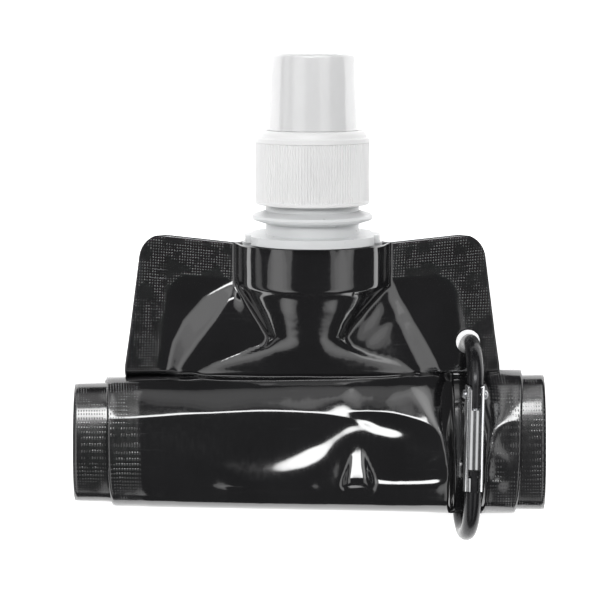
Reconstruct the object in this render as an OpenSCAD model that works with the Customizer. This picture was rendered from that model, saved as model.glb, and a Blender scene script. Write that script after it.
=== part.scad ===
// Folding water bottle, empty, rolled up from its base and held in the roll by a carabiner.
// It lies on its back: +X is the bottle's width, +Y points towards the spout, +Z points up
// and Z = 0 is the surface that it lies on. All lengths are in millimetres.

/* [Pouch] */
// Width of the pouch body across its sealed edges
pouch_w = 118.6; // [116:0.2:122]
// Width of the pouch across its shoulders
shoulder_w = 84.8; // [82:0.2:87]
// Radius of the two shoulder corners
corner_r = 5.5; // [4:0.5:7]
// Thickness of one ply of film
film_t = 0.25; // [0.15:0.05:0.25]
// Air gap between two plies that lie flat on each other
ply_gap = 0.1; // [0.08:0.01:0.12]
// Diameter of the punched hanging hole
hole_d = 6; // [5.6:0.1:6.6]
// Distance from the pouch's centre line to the hanging hole
hole_x = 39.9; // [39.7:0.1:40.2]

/* [Roll] */
// Height of the roll above the surface
roll_h = 17.5; // [17:0.1:18]
// Depth of the roll at its left end
roll_depth_left = 33.6; // [33:0.2:35]
// Depth of the roll at its right end
roll_depth_right = 38; // [37:0.2:38.6]
// Angle through which the film is wound
wound_angle = 930; // [900:5:940]
// Height of the roll's underside where the carabiner's spine lifts it
pinch_floor = 4.6; // [4.5:0.05:4.8]
// Width of the valley that the carabiner presses into the roll
pinch_w = 12; // [11.5:0.1:13]

/* [Spout] */
// Tilt of the spout's axis above the horizontal, in degrees
spout_tilt = 8.7; // [8:0.1:9]
// Outer diameter of the neck
neck_d = 23.2; // [23:0.1:23.4]
// Diameter of the spout's bore
bore_d = 19.8; // [18:0.1:20]
// Diameter of the flange at the foot of the neck
flange_d = 33.8; // [33:0.1:34]
// Diameter of the support ring
support_ring_d = 30.2; // [29:0.1:31]
// Axial pitch of the screw thread
thread_pitch = 3; // [2.9:0.05:3.1]
// Crest diameter of the neck's thread
neck_thread_d = 26; // [25.8:0.05:26]

/* [Cap] */
// Diameter over the cap's ribs
cap_d = 28.3; // [28.2:0.05:28.6]
// Number of grip ribs round the cap
rib_count = 120; // [90:10:120]
// Depth of a grip rib
rib_depth = 0.35; // [0.2:0.05:0.4]
// Diameter over the nozzle's barrel
nozzle_d = 13.2; // [13:0.1:13.6]
// Diameter of the dust cover at its foot
cover_d = 23; // [23:0.1:23.2]
// Height of the dust cover
cover_h = 18.7; // [18.6:0.1:20]

/* [Carabiner] */
// Overall length of the carabiner
ring_l = 52; // [51.8:0.1:52.4]
// Overall width of the carabiner
ring_w = 25; // [25:0.1:25.6]
// Diameter of the carabiner's wire
wire_d = 4.1; // [4:0.05:4.2]
// Diameter of the gate
gate_d = 5; // [4.9:0.05:5.2]
// Tilt of the carabiner's loop about the Y axis, in degrees
ring_yaw = 3; // [2:0.5:4]
// Swing of the carabiner about its hole, in degrees
ring_lean = -1.3; // [-1.5:0.1:0]

/* [Hidden] */
$fn = 96;
FILM = "#17171a";
FROSTED = "#d5d6d8";
WHITE = "#f0f0f0";
CLEAR = [0.93, 0.94, 0.95, 0.5];
FOAM = "#e8e8e4";
ANODISED = "#1c1c1f";
SILVER = "#cfd2d6";
STEEL = "#9a9da2";

// places of the assemblies
spout_x = 0.7;
spout_y = 13.8;
spout_z = flange_d / 2 * cos(spout_tilt) + 0.05;
roll_y = -36.265;
ring_x = 40.4;
ring_y = -35.25;
ring_z = (ring_w - wire_d) / 2 * cos(ring_yaw) + wire_d / 2;

// the film's route: a flat shoulder, a dive behind the roll, then the winding
flat_len = 22.9;
film_top_gap = 0.3;
shoulder_climb = 0.11;
flat_steps = 6;
dive_len = 17.5;
dive_steps = 4;
wind_steps = 41;
route_end = flat_steps + dive_steps + wind_steps;
entry_angle = 56;
angle_crowding = 17.2;
roll_power = 0.77;
roll_step_y = 1.3;
roll_drift_y = 0.2;
roll_step_z = 2.6;
roll_half_h = roll_h / 2 + 1.25;
roll_mid_z = roll_h / 2 + 0.15;
turn_len = 88;
pinch_x = 39.4;
pinch_ramp = 10;
pinch_half_h = 5.4;
pinch_mid_z = pinch_floor + 5.5;
pinch_step_z = 1.6;

// the pocket that the film makes round the spout's weld base
core_half_w = 20;
base_half_w = 18.6;
base_half_h = 12.3;
base_len = 10.5;
pocket_fade_start = 12.5;
pocket_fade_len = 24.5;
pocket_wide = 34;
weld_gap = 0.18;
core_marks = [0, 0.4, 0.7, 0.93];
right_marks = [for (i = [1:9]) 1 + i / 9];
marks = concat([-2, -1.8, -1.35, -0.93, -0.7, -0.4], core_marks, right_marks);

// the folded base film lies between the plies at the end of the winding
gusset_steps = 7;
gusset_gap = 0.76;
gusset_leg_in = 0.05;
gusset_leg_out = 0.22;

function smooth(t) = let (c = min(1, max(0, t))) c * c * (3 - 2 * c);
function mix(a, b, t) = a + (b - a) * t;
function signed_pow(v, p) = sign(v) * pow(abs(v), p);

// how far the carabiner squeezes the roll at x, from 0 to 1
function pinch(x) = let (half = pinch_w / 2)
    smooth((x - pinch_x + half + pinch_ramp) / pinch_ramp)
    * (1 - smooth((x - pinch_x - half) / pinch_ramp));

// distance along the film from its top edge at route step k
function run(k) =
    k <= flat_steps ? flat_len * pow(k / flat_steps, 1.3)
    : k <= flat_steps + dive_steps ? flat_len + dive_len * (k - flat_steps) / dive_steps
    : flat_len + dive_len
      + turn_len * (k - flat_steps - dive_steps) / wind_steps * wound_angle / 360;

// half the film's width at a distance along it, with the shoulder's round corner
function half_width(r) =
    lookup(r, [[0, shoulder_w / 2], [31, shoulder_w / 2 + 4.8], [100, pouch_w / 2 - 7.2],
               [125, pouch_w / 2 - 6.2], [155, pouch_w / 2]])
    - (r < corner_r ? corner_r - sqrt(corner_r * corner_r - pow(corner_r - r, 2)) : 0);

// the film winds up slightly askew, so its centre line wanders from X = 0
function centre_x(r) = lookup(r, [[0, spout_x], [40, spout_x], [100, 1.3], [155, 0]]);

// distance of a mark from the centre line: mark 0 is on it, 1 is the edge of the spout's
// zone and 2 the sealed edge
function mark_offset(m, r) = let (a = abs(m))
    sign(m) * (a <= 1 ? a * core_half_w : mix(core_half_w, half_width(r), a - 1));

// the winding in the Y-Z plane at x, for a turning angle that is crowded at its two ends
function wound_point(x, turned) = let (
    crowded = entry_angle + turned,
    angle = crowded - angle_crowding * sin(2 * crowded),
    turns = turned / 360,
    q = pinch(x),
    half_y = mix(roll_depth_left, roll_depth_right, (x + pouch_w / 2) / pouch_w) / 2
             - roll_step_y * turns,
    half_z = mix(roll_half_h, pinch_half_h, q) - mix(roll_step_z, pinch_step_z, q) * turns,
    floor_z = ply_gap / 2 + film_t + pinch_floor * q,
    mid_z = mix(roll_mid_z, pinch_mid_z, q))
    [roll_y - roll_drift_y * turns + half_y * signed_pow(cos(angle), roll_power),
     max(floor_z, mid_z - half_z * signed_pow(sin(angle), roll_power))];

// the shoulders' top edge climbs away from the spout
function shoulder_rise(x) = shoulder_climb * max(0, abs(x - spout_x) - 18);

function flat_point(x, r) = let (s = shoulder_rise(x) * (1 - r / flat_len) - film_top_gap - r)
    [spout_y + s * cos(spout_tilt), spout_z + s * sin(spout_tilt)];

// a cubic from the flat shoulder into the winding
function dive_point(x, t) = let (
    a = flat_point(x, flat_len),
    b = wound_point(x, 0),
    in_dir = -dive_len * [cos(spout_tilt), sin(spout_tilt)],
    out_dir = dive_len * (wound_point(x, 4) - b) / norm(wound_point(x, 4) - b),
    t2 = t * t,
    t3 = t2 * t)
    (2 * t3 - 3 * t2 + 1) * a + (t3 - 2 * t2 + t) * in_dir
    + (3 * t2 - 2 * t3) * b + (t3 - t2) * out_dir;

function route_point(x, k) =
    k <= flat_steps ? flat_point(x, run(k))
    : k < flat_steps + dive_steps ? dive_point(x, (k - flat_steps) / dive_steps)
    : wound_point(x, wound_angle * (k - flat_steps - dive_steps) / wind_steps);

// unit normal of the route at step k, on the front ply's side, mitred at its bends
function route_normal(x, k) = let (
    here = route_point(x, k),
    before = k > 0 ? here - route_point(x, k - 1) : route_point(x, k + 1) - here,
    after = k < route_end ? route_point(x, k + 1) - here : before,
    a = before / norm(before),
    b = after / norm(after),
    t = (a + b) / norm(a + b))
    [t[1], -t[0]] / max(0.75, t * a);

// how far a ply bulges from the route's plane, round the spout's base and below it
function pocket_depth(from_centre, r) = let (
    fade = smooth((r - pocket_fade_start) / pocket_fade_len),
    half_w = mix(base_half_w, pocket_wide, fade))
    base_half_h * (1 - fade) * max(0, 1 - pow(from_centre / half_w, 2));

// a point of the film at mark m and step k, offset to the front (+) or the back (-)
function film_point(m, k, offset, bulge) = let (
    r = run(k),
    from_centre = mark_offset(m, r),
    x = centre_x(r) + from_centre,
    depth = offset + bulge * pocket_depth(from_centre, r),
    p = route_point(x, k) + route_normal(x, k) * depth)
    [x, p[0], p[1]];

// half the gap between the plies at step k
function half_gap(k) = k > route_end - gusset_steps - 2 ? gusset_gap / 2 : ply_gap / 2;

// faces of a closed slab made of two grids of points, each with its rows one after another
function slab_faces(rows, cols) = let (n = rows * cols)
    concat(
        [for (i = [0:rows - 2], j = [0:cols - 2]) each let (a = i * cols + j)
            [[a, a + 1, a + cols], [a + 1, a + cols + 1, a + cols]]],
        [for (i = [0:rows - 2], j = [0:cols - 2]) each let (a = n + i * cols + j)
            [[a, a + cols, a + 1], [a + 1, a + cols, a + cols + 1]]],
        [for (j = [0:cols - 2]) each let (a = j, b = (rows - 1) * cols + j)
            [[a, n + a, a + 1], [a + 1, n + a, n + a + 1],
             [b, b + 1, n + b], [b + 1, n + b + 1, n + b]]],
        [for (i = [0:rows - 2]) each let (a = i * cols, b = i * cols + cols - 1)
            [[a, a + cols, n + a], [a + cols, n + a + cols, n + a],
             [b, n + b, b + cols], [b + cols, n + b, n + b + cols]]]);

// one ply: side is +1 for the front and -1 for the back
module ply(side) {
    low = side > 0 ? 0 : -film_t;
    points = [for (offset = [low + film_t, low], k = [0:route_end], m = marks)
        film_point(m, k, side * half_gap(k) + offset, side)];
    polyhedron(points, slab_faces(route_end + 1, len(marks)), convexity = 12);
}

// the punched hole runs through both plies, square to them
module hanging_hole() {
    translate([hole_x, ring_y + (ring_l - wire_d) / 2, ring_z])
        rotate([spout_tilt, 0, 0])
            cylinder(d = hole_d, h = 5, center = true);
}

module front_film() {
    color(FILM) difference() {
        ply(1);
        hanging_hole();
    }
}

module back_film() {
    color(FILM) difference() {
        ply(-1);
        hanging_hole();
    }
}

// the base film: folded in two, fold uppermost, its legs against the two plies
module base_gusset() {
    first = route_end - gusset_steps;
    function leg_point(m, k, offset) = let (i = floor(k), t = k - i,
        a = film_point(m, i, offset, 0),
        b = t > 0 ? film_point(m, i + 1, offset, 0) : a)
        mix(a, b, t);
    outer = concat([for (k = [route_end:-1:first]) [k, -gusset_leg_out]],
                   [for (k = [first:route_end]) [k, gusset_leg_out]]);
    inner = concat([for (k = [route_end:-1:first]) [max(k, first + 0.2), -gusset_leg_in]],
                   [for (k = [first:route_end]) [max(k, first + 0.2), gusset_leg_in]]);
    points = [for (rail = [inner, outer], p = rail, m = marks) leg_point(m, p[0], p[1])];
    color(FILM) polyhedron(points, slab_faces(len(outer), len(marks)), convexity = 12);
}

// children are placed with the spout's axis as Z and the flange's underside as Z = 0;
// their -Y side is the front
module on_spout() {
    translate([spout_x, spout_y, spout_z]) rotate([spout_tilt - 90, 0, 0]) children();
}

// a screw thread of trapezoid section, tapered away at both its ends
module helix(root_r, crest_r, start, turns, root_w = 1.3, crest_w = 0.7, steps = 36) {
    count = round(turns * steps);
    function section(i) = let (
        a = i * 360 / steps,
        grow = max(0.08, min(1, i / 4, (count - i) / 4)),
        z = start + thread_pitch * i / steps,
        r = mix(root_r, crest_r, grow))
        [for (p = [[root_r, -root_w], [r, -crest_w], [r, crest_w], [root_r, root_w]])
            [p[0] * cos(a), p[0] * sin(a), z + p[1] / 2]];
    points = [for (i = [0:count]) each section(i)];
    flip = crest_r > root_r;
    sides = [for (i = [0:count - 1], j = [0:3]) each let (
        a = 4 * i + j,
        b = 4 * i + (j + 1) % 4,
        c = a + 4,
        d = b + 4)
        flip ? [[a, b, c], [b, d, c]] : [[b, a, c], [d, b, c]]];
    last = 4 * count;
    ends = flip ? [[3, 2, 1, 0], [last, last + 1, last + 2, last + 3]]
                : [[0, 1, 2, 3], [last + 3, last + 2, last + 1, last]];
    polyhedron(points, concat(sides, ends), convexity = 6);
}

// outline of the boat-shaped weld base; inset makes its hollows between the weld ribs
module base_outline(inset) {
    half_w = 17.4;
    profile = [for (m = core_marks) [m * core_half_w, pocket_depth(m * core_half_w, 0)]];
    xs = [0, 8, 14, half_w];
    side = [for (x = xs) [x, lookup(x, profile) - weld_gap - inset]];
    half = concat([for (i = [3:-1:1]) [-side[i][0], side[i][1]]], side);
    polygon(concat(half, [for (i = [6:-1:0]) [half[i][0], -half[i][1]]]));
}

rib_pitch = 2.3;
rib_h = 1.3;
base_rib_inset = 0.5;

module weld_base() {
    translate([0, 0, -base_len]) linear_extrude(base_len) base_outline(base_rib_inset);
    for (i = [0:4])
        translate([0, 0, -base_len + i * rib_pitch]) linear_extrude(rib_h) base_outline(0);
}

flange_t = 2;
flange_front_w = 30.2;
flange_back_half = 4;

module flange() {
    difference() {
        cylinder(d = flange_d, h = flange_t);
        for (sx = [-1, 1], sy = [-1, 1])
            translate([sx * (flange_front_w + 20) / 2, sy * (flange_back_half + 10), 0])
                cube([20, 20, 3 * flange_t], center = true);
    }
}

neck_top = 24.4;
support_s = 6.3;

module spout() {
    neck_r = neck_d / 2;
    tip_r = support_ring_d / 2;
    color(FROSTED) on_spout() difference() {
        union() {
            weld_base();
            flange();
            rotate_extrude() polygon([
                [5, 0], [neck_r, 0], [neck_r, support_s - 1.6], [tip_r - 0.3, support_s - 0.6],
                [tip_r, support_s], [tip_r - 0.3, support_s + 0.6], [neck_r, support_s + 1.6],
                [neck_r, neck_top - 0.6], [neck_r - 0.6, neck_top], [5, neck_top]]);
            helix(neck_r - 0.4, neck_thread_d / 2, 12.2, 1.8);
        }
        translate([0, 0, -base_len - 1]) cylinder(d = bore_d, h = base_len + neck_top + 2);
    }
}

skirt_low = 9.6;
cap_bore_d = 26.3;
ceiling_s = 25.4;
deck_s = 27;
shoulder_s = 27.8;
spigot_d = 21;
spigot_top = 30;
chimney_d = 10.4;
chimney_bore_d = 8;
chimney_top = 35;
chimney_bead = 0.27;
pin_d = 3.86;
pin_top = 42.3;

module cap_profile() {
    band_r = cap_d / 2 + 0.05;
    wall_r = cap_d / 2 - rib_depth - 0.05;
    in_r = cap_bore_d / 2;
    polygon(concat(
        [[in_r, skirt_low], [band_r - 0.2, skirt_low], [band_r, skirt_low + 0.2],
         [band_r, skirt_low + 0.8], [wall_r, skirt_low + 1], [wall_r, 24.6],
         [band_r, 24.8], [band_r, 25.8], [band_r - 0.25, 26.05], [band_r - 0.7, 26.1]],
        [for (a = [0:15:75]) [12.3 + 1.15 * cos(a), 26.3 + 1.5 * sin(a)]],
        [[spigot_d / 2, shoulder_s], [spigot_d / 2, spigot_top - 0.3],
         [spigot_d / 2 - 0.3, spigot_top], [spigot_d / 2 - 1.1, spigot_top],
         [spigot_d / 2 - 1.1, deck_s], [chimney_d / 2, deck_s],
         [chimney_d / 2, chimney_top - 1.4],
         [chimney_d / 2 + chimney_bead, chimney_top - 1.1],
         [chimney_d / 2 + chimney_bead, chimney_top - 0.8],
         [chimney_d / 2 - 0.3, chimney_top],
         [chimney_bore_d / 2, chimney_top], [chimney_bore_d / 2, ceiling_s],
         [in_r, ceiling_s]]));
}

// ring of grip ribs, each a blunt wedge
module grip_ribs() {
    tip_r = cap_d / 2;
    root_r = tip_r - rib_depth;
    step = 360 / rib_count;
    linear_extrude(24.7 - skirt_low - 0.7) difference() {
        polygon([for (i = [0:rib_count - 1],
                      p = [[-0.42, root_r], [-0.2, tip_r], [0.2, tip_r], [0.42, root_r]])
            p[1] * [cos((i + p[0]) * step), sin((i + p[0]) * step)]]);
        circle(r = root_r - 0.4);
    }
}

// the three webs that carry the sealing pin in the chimney
module pin_webs() {
    for (a = [90, 210, 330])
        rotate(a) translate([pin_d / 2 - 0.4, -0.5, ceiling_s])
            cube([(chimney_bore_d - pin_d) / 2 + 0.8, 1, 7]);
}

module sealing_pin() {
    tip_r = 0.8;
    rotate_extrude() polygon(concat(
        [[0, ceiling_s], [pin_d / 2, ceiling_s], [pin_d / 2, pin_top - tip_r]],
        [for (a = [30:30:60]) [pin_d / 2 - tip_r + tip_r * cos(a), pin_top - tip_r + tip_r * sin(a)]],
        [[pin_d / 2 - tip_r, pin_top], [0, pin_top]]));
}

module cap_collar() {
    color(WHITE) on_spout() union() {
        rotate_extrude() cap_profile();
        translate([0, 0, skirt_low + 0.7]) grip_ribs();
        helix(cap_bore_d / 2 + 0.35, 12.25, 13.7, 1.6);
        sealing_pin();
        pin_webs();
    }
}

module cap_liner() {
    color(FOAM) on_spout() translate([0, 0, neck_top + 0.04]) difference() {
        cylinder(d = 25.8, h = 0.9);
        translate([0, 0, -1]) cylinder(d = bore_d, h = 3);
    }
}

nozzle_low = 28;
nozzle_top = 41.5;

module valve_nozzle() {
    barrel_r = nozzle_d / 2;
    lip_r = chimney_d / 2 + 0.07;
    bore_r = chimney_d / 2 + chimney_bead + 0.08;
    hole_r = pin_d / 2 + 0.07;
    color(WHITE) on_spout() rotate_extrude() polygon([
        [lip_r, nozzle_low], [barrel_r, nozzle_low], [barrel_r, 30.2], [7.4, 30.2],
        [7.7, 30.5], [7.7, 31.6], [7.2, 32], [barrel_r, 32.2], [barrel_r - 0.35, 39.2],
        [6.9, 39.7], [7.3, 40.2], [7.3, 40.7], [6.9, 41.2], [6.2, nozzle_top],
        [hole_r, nozzle_top], [hole_r, 40.1], [4, 38.6], [bore_r, 36.6], [bore_r, 29.5],
        [lip_r, 29.3]]);
}

cover_top_r = 10.7;
cover_wall = 0.88;
cover_round = 1;

module dust_cover() {
    foot_r = cover_d / 2;
    low = shoulder_s + 0.06;
    top = shoulder_s + cover_h;
    arc = [for (a = [0:15:90]) [cover_top_r - cover_round + cover_round * cos(a),
                                 top - cover_round + cover_round * sin(a)]];
    color(CLEAR) on_spout() rotate_extrude() polygon(concat(
        [[foot_r - cover_wall, low], [foot_r, low]], arc,
        [[0, top], [0, top - cover_wall], [cover_top_r - cover_wall - 0.5, top - cover_wall],
         [cover_top_r - cover_wall, top - cover_wall - 0.5],
         [foot_r - cover_wall, low + 2.6]]));
}

// children are placed in the carabiner's own frame: Y along it, Z to its gate side
module on_ring() {
    reach = (ring_l - wire_d) / 2;
    translate([ring_x, ring_y + reach, ring_z]) rotate([0, 0, ring_lean])
        translate([0, -reach, 0]) rotate([0, ring_yaw, 0]) children();
}

bend_r = (ring_w - wire_d) / 2;
bend_y = ring_l / 2 - ring_w / 2;
pivot_y = 11.2;
pivot_pin_d = 1.5;
gate_end_y = -12.5;
gate_head_r = gate_d / 2;
slot_w = 2.2;
slot_low = 7.4;
tongue_t = 1.9;
tongue_end = 7.9;
nose_h = 3.6;
spring_bore_d = 2.6;
spring_floor = -0.5;

// a round bar along Y at the gate's height
module front_bar(low, high, d = wire_d) {
    translate([0, low, bend_r]) rotate([-90, 0, 0]) cylinder(d = d, h = high - low);
}

// half a ring of wire in the Y-Z plane; side is +1 for the spout's end
module bend(side) {
    translate([0, side * bend_y, 0]) rotate([0, -90, 0]) rotate(side > 0 ? 0 : 180)
        rotate_extrude(angle = 180) translate([bend_r, 0]) circle(d = wire_d);
}

// the heel: a flattened tongue that the gate's ears straddle
module heel_tongue() {
    top = bend_y + 0.8;
    difference() {
        intersection() {
            front_bar(tongue_end, top, wire_d - 0.2);
            translate([-tongue_t / 2, tongue_end - 1, 0]) cube([tongue_t, 10, 2 * bend_r]);
        }
        translate([0, pivot_y, bend_r]) rotate([0, 90, 0])
            cylinder(d = pivot_pin_d, h = 6, center = true);
    }
}

// the nose: a stem with a wider head that locks into the gate's keyhole slot
module nose() {
    low = -bend_y + 0.4;
    intersection() {
        front_bar(low, -7.4, wire_d - 0.2);
        translate([0, 0, bend_r - nose_h / 2]) union() {
            translate([-0.75, low - 1, 0]) cube([1.5, 7, nose_h]);
            translate([-1.3, -8.7, 0]) cube([2.6, 3, nose_h]);
        }
    }
}

module carabiner_body() {
    color(ANODISED) on_ring() union() {
        translate([0, -bend_y, -bend_r]) rotate([-90, 0, 0])
            cylinder(d = wire_d, h = 2 * bend_y);
        bend(-1);
        front_bar(-bend_y, -bend_y + 0.7);
        // the wire ends in a hollow that clears the gate's round head
        difference() {
            bend(1);
            translate([0, pivot_y, bend_r]) rotate([0, 90, 0])
                cylinder(r = gate_head_r + 0.28, h = 8, center = true);
        }
        heel_tongue();
        nose();
    }
}

rivet_seat = 2.25;
rivet_end = 3.3;
rivet_head_d = 2.4;

module carabiner_gate() {
    color(SILVER) on_ring() translate([0, 0, bend_r]) difference() {
        union() {
            translate([0, gate_end_y, 0]) rotate([-90, 0, 0])
                cylinder(d = gate_d, h = pivot_y - gate_end_y);
            intersection() {
                translate([0, pivot_y - 0.1, 0]) rotate([-90, 0, 0]) cylinder(d = gate_d, h = 4);
                translate([0, pivot_y, 0]) rotate([0, 90, 0])
                    cylinder(r = gate_head_r, h = 8, center = true);
            }
        }
        // upper slot for the heel and lower keyhole slot for the nose
        translate([-slot_w / 2, slot_low, -4]) cube([slot_w, 10, 8]);
        translate([-1, gate_end_y - 1, -4]) cube([2, 5, 8]);
        translate([-1.6, -9.2, -4]) cube([3.2, 2.1, 8]);
        // bore for the spring and its plunger
        translate([0, spring_floor, 0]) rotate([-90, 0, 0])
            cylinder(d = spring_bore_d, h = slot_low - spring_floor + 1);
        // pivot bore and the flats under the rivet's heads
        translate([0, pivot_y, 0]) rotate([0, 90, 0])
            cylinder(d = pivot_pin_d + 0.1, h = 8, center = true);
        for (side = [-1, 1])
            translate([side * (rivet_seat - 0.05 + 1), pivot_y, 0]) rotate([0, 90, 0])
                cylinder(d = rivet_head_d + 0.3, h = 2, center = true);
    }
}

module gate_rivet() {
    head_r = rivet_head_d / 2;
    head_h = rivet_end - rivet_seat;
    head = [for (a = [0:15:75]) [head_r * cos(a), rivet_seat + 0.25 + (head_h - 0.25) * sin(a)]];
    color(STEEL) on_ring() translate([0, pivot_y, bend_r]) rotate([0, 90, 0])
        for (side = [0, 1]) mirror([0, 0, side])
            rotate_extrude() polygon(concat(
                [[0, 0], [pivot_pin_d / 2, 0], [pivot_pin_d / 2, rivet_seat],
                 [head_r, rivet_seat]], head, [[0, rivet_end]]));
}

plunger_d = 2.3;
plunger_low = 5.6;

module gate_plunger() {
    color(STEEL) on_ring() translate([0, plunger_low, bend_r]) rotate([-90, 0, 0])
        union() {
            cylinder(d = plunger_d, h = tongue_end - 0.03 - plunger_low);
            translate([0, 0, -1.2]) cylinder(d = 1.1, h = 1.3);
        }
}

spring_wire_d = 0.34;
spring_turns = 6;

module gate_spring() {
    coil_r = 0.86;
    steps = 14;
    sides = 6;
    low = spring_floor + spring_wire_d / 2 + 0.03;
    high = plunger_low - spring_wire_d / 2 - 0.03;
    count = spring_turns * steps;
    points = [for (i = [0:count], j = [0:sides - 1]) let (
        a = i * 360 / steps,
        b = j * 360 / sides,
        r = coil_r + spring_wire_d / 2 * cos(b))
        [r * cos(a), r * sin(a), mix(low, high, i / count) + spring_wire_d / 2 * sin(b)]];
    walls = [for (i = [0:count - 1], j = [0:sides - 1]) each let (
        a = sides * i + j,
        b = sides * i + (j + 1) % sides)
        [[a, b, a + sides], [b, b + sides, a + sides]]];
    first = [for (j = [sides - 1:-1:0]) j];
    last = [for (j = [0:sides - 1]) sides * count + j];
    color(STEEL) on_ring() translate([0, 0, bend_r]) rotate([-90, 0, 0])
        polyhedron(points, concat(walls, [first, last]), convexity = 8);
}

front_film();
back_film();
base_gusset();
spout();
cap_collar();
cap_liner();
valve_nozzle();
dust_cover();
carabiner_body();
carabiner_gate();
gate_rivet();
gate_plunger();
gate_spring();
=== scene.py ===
from math import cos, pi, radians, sin

import bmesh
import bpy
import numpy as np
from mathutils import Matrix, Vector


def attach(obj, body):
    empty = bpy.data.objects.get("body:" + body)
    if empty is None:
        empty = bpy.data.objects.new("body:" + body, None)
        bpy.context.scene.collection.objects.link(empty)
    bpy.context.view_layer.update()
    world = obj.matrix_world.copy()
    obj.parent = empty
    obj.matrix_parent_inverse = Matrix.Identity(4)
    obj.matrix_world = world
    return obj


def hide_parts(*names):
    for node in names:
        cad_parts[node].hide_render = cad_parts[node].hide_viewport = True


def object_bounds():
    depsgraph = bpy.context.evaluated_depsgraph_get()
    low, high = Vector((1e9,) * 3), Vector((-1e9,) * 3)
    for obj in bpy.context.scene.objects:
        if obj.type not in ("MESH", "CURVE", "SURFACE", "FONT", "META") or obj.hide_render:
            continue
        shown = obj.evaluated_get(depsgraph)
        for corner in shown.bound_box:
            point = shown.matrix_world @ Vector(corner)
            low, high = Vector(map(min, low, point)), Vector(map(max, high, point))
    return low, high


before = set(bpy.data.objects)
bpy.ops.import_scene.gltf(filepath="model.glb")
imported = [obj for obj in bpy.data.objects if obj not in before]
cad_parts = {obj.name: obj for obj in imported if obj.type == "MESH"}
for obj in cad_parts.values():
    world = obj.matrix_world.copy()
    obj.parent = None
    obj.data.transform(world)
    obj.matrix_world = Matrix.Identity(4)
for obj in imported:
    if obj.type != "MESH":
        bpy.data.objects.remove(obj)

CAD_BOX = [list(corner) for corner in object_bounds()]
MM = 0.001

# ---------------------------------------------------------------- the film's route, in mm
# The films follow the route of the CAD's films. x runs across the pouch, and r counts along the
# film from its top edge. r is in millimetres of film on the flat shoulder. Past it, r only counts
# the winding, where a turn of TURN_LEN is more than the film that it takes.
POUCH_W, SHOULDER_W, CORNER_R = 118.6, 84.8, 5.5
FILM_T, HOLE_D = 0.25, 6.0
TILT = radians(8.7)
SPOUT = (0.7, 13.8, 33.8 / 2 * cos(TILT) + 0.05)
# the weld base on the spout, inside the pouch
BASE_W, BASE_H, BASE_LEN = 18.6, 12.3, 10.5
# from SLANT_FROM beside the spout the top edge slants up, and this fades out along SLANT_LEN
SLANT, SLANT_FROM, SLANT_LEN, TOP_GAP = 0.11, 18, 22.9, 0.3
# flat shoulder, dive to the roll, and one turn of the winding
FLAT_LEN, DIVE_LEN, TURN_LEN = 31.5, 8.9, 88.0
WOUND_ANGLE = 930.0
WOUND_START = FLAT_LEN + DIVE_LEN
FILM_END = WOUND_START + TURN_LEN * WOUND_ANGLE / 360
# the roll: the angle at which the film enters it, how much the winding crowds at its two
# narrow sides, and the power that squares its oval
ENTRY, CROWDING, POWER = 56.0, 17.2, 0.77
ROLL_Y, ROLL_H, DEPTH_LEFT, DEPTH_RIGHT = -36.265, 17.5, 33.6, 38.0
ROLL_MID_Z, ROLL_HALF_H, ROLL_FLOOR = ROLL_H / 2 + 0.15, ROLL_H / 2 + 1.25, 0.3
# each turn lies inside the one before it, and a little to the near side, -Y
STEP_Y, STEP_Z, STEP_NEAR = 1.3, 2.6, 0.2
# the valley that the carabiner presses into the roll
PINCH_X, PINCH_W, PINCH_RAMP = 39.4, 12.0, 7.5
PINCH_FLOOR, PINCH_HALF_H, PINCH_STEP_Z = 4.6, 5.4, 1.6
PINCH_MID_Z = PINCH_FLOOR + 5.5
# its dip in the roll's top: depth, flat half width, and half widths on the near and far side
DIP, DIP_FLAT, DIP_NEAR, DIP_FAR, DIP_POWER = 3.7, 3.3, 4.9, 17.0, 2.2
# the carabiner, whose upper end is the place of the punched hole
HOLE_X, RING_Y, RING_L, WIRE_D = 39.9, -35.25, 52, 4.1
# the heat seals: along the sides, along the top, and the round corner inside them
SEAL_SIDE, SEAL_TOP, SEAL_R = 8, 9, 5
# past this distance along the film the shoulder's relief is nothing
RELIEF_LEN = 40


def smooth(t):
    """From 0 at t = 0 to 1 at t = 1, level at both ends."""
    c = np.clip(t, 0, 1)
    return c * c * (3 - 2 * c)


def window(v, start, fade_in, end, fade_out):
    """Rises from 0 to 1 past start, and falls back to 0 past end."""
    return smooth((v - start) / fade_in) * (1 - smooth((v - end) / fade_out))


def mix(a, b, t):
    return a + (b - a) * t


def signed_pow(v, p):
    return np.sign(v) * np.abs(v) ** p


def curve(r, *knots):
    """A value that runs straight between (r, value) knots."""
    return np.interp(r, [k[0] for k in knots], [k[1] for k in knots])


def pinch(x):
    """1 across the valley under the carabiner, and 0 away from it."""
    half = PINCH_W / 2
    on = smooth((x - PINCH_X + half + PINCH_RAMP) / PINCH_RAMP)
    return on * (1 - smooth((x - PINCH_X - half) / PINCH_RAMP))


def valley_depth(x, far):
    """How deep the roll's top dips beside and under the gate. The dip flares out where far, from
    -1 on the near side of the roll to 1 on its far side, is large."""
    u = np.abs(x - PINCH_X)
    flare = mix(DIP_NEAR, DIP_FAR, smooth((far + 0.3) / 1.2))
    return DIP * np.clip((flare - u) / (flare - DIP_FLAT), 0, 1) ** DIP_POWER


def half_width(r):
    """Half the pouch's width. Its top corners are round."""
    width = curve(r, (0, SHOULDER_W / 2), (31, SHOULDER_W / 2 + 4.8), (100, POUCH_W / 2 - 7.2),
                  (125, POUCH_W / 2 - 6.2), (155, POUCH_W / 2))
    inset = CORNER_R - np.sqrt(np.maximum(CORNER_R ** 2 - (CORNER_R - r) ** 2, 0))
    return width - np.where(r < CORNER_R, inset, 0)


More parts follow.
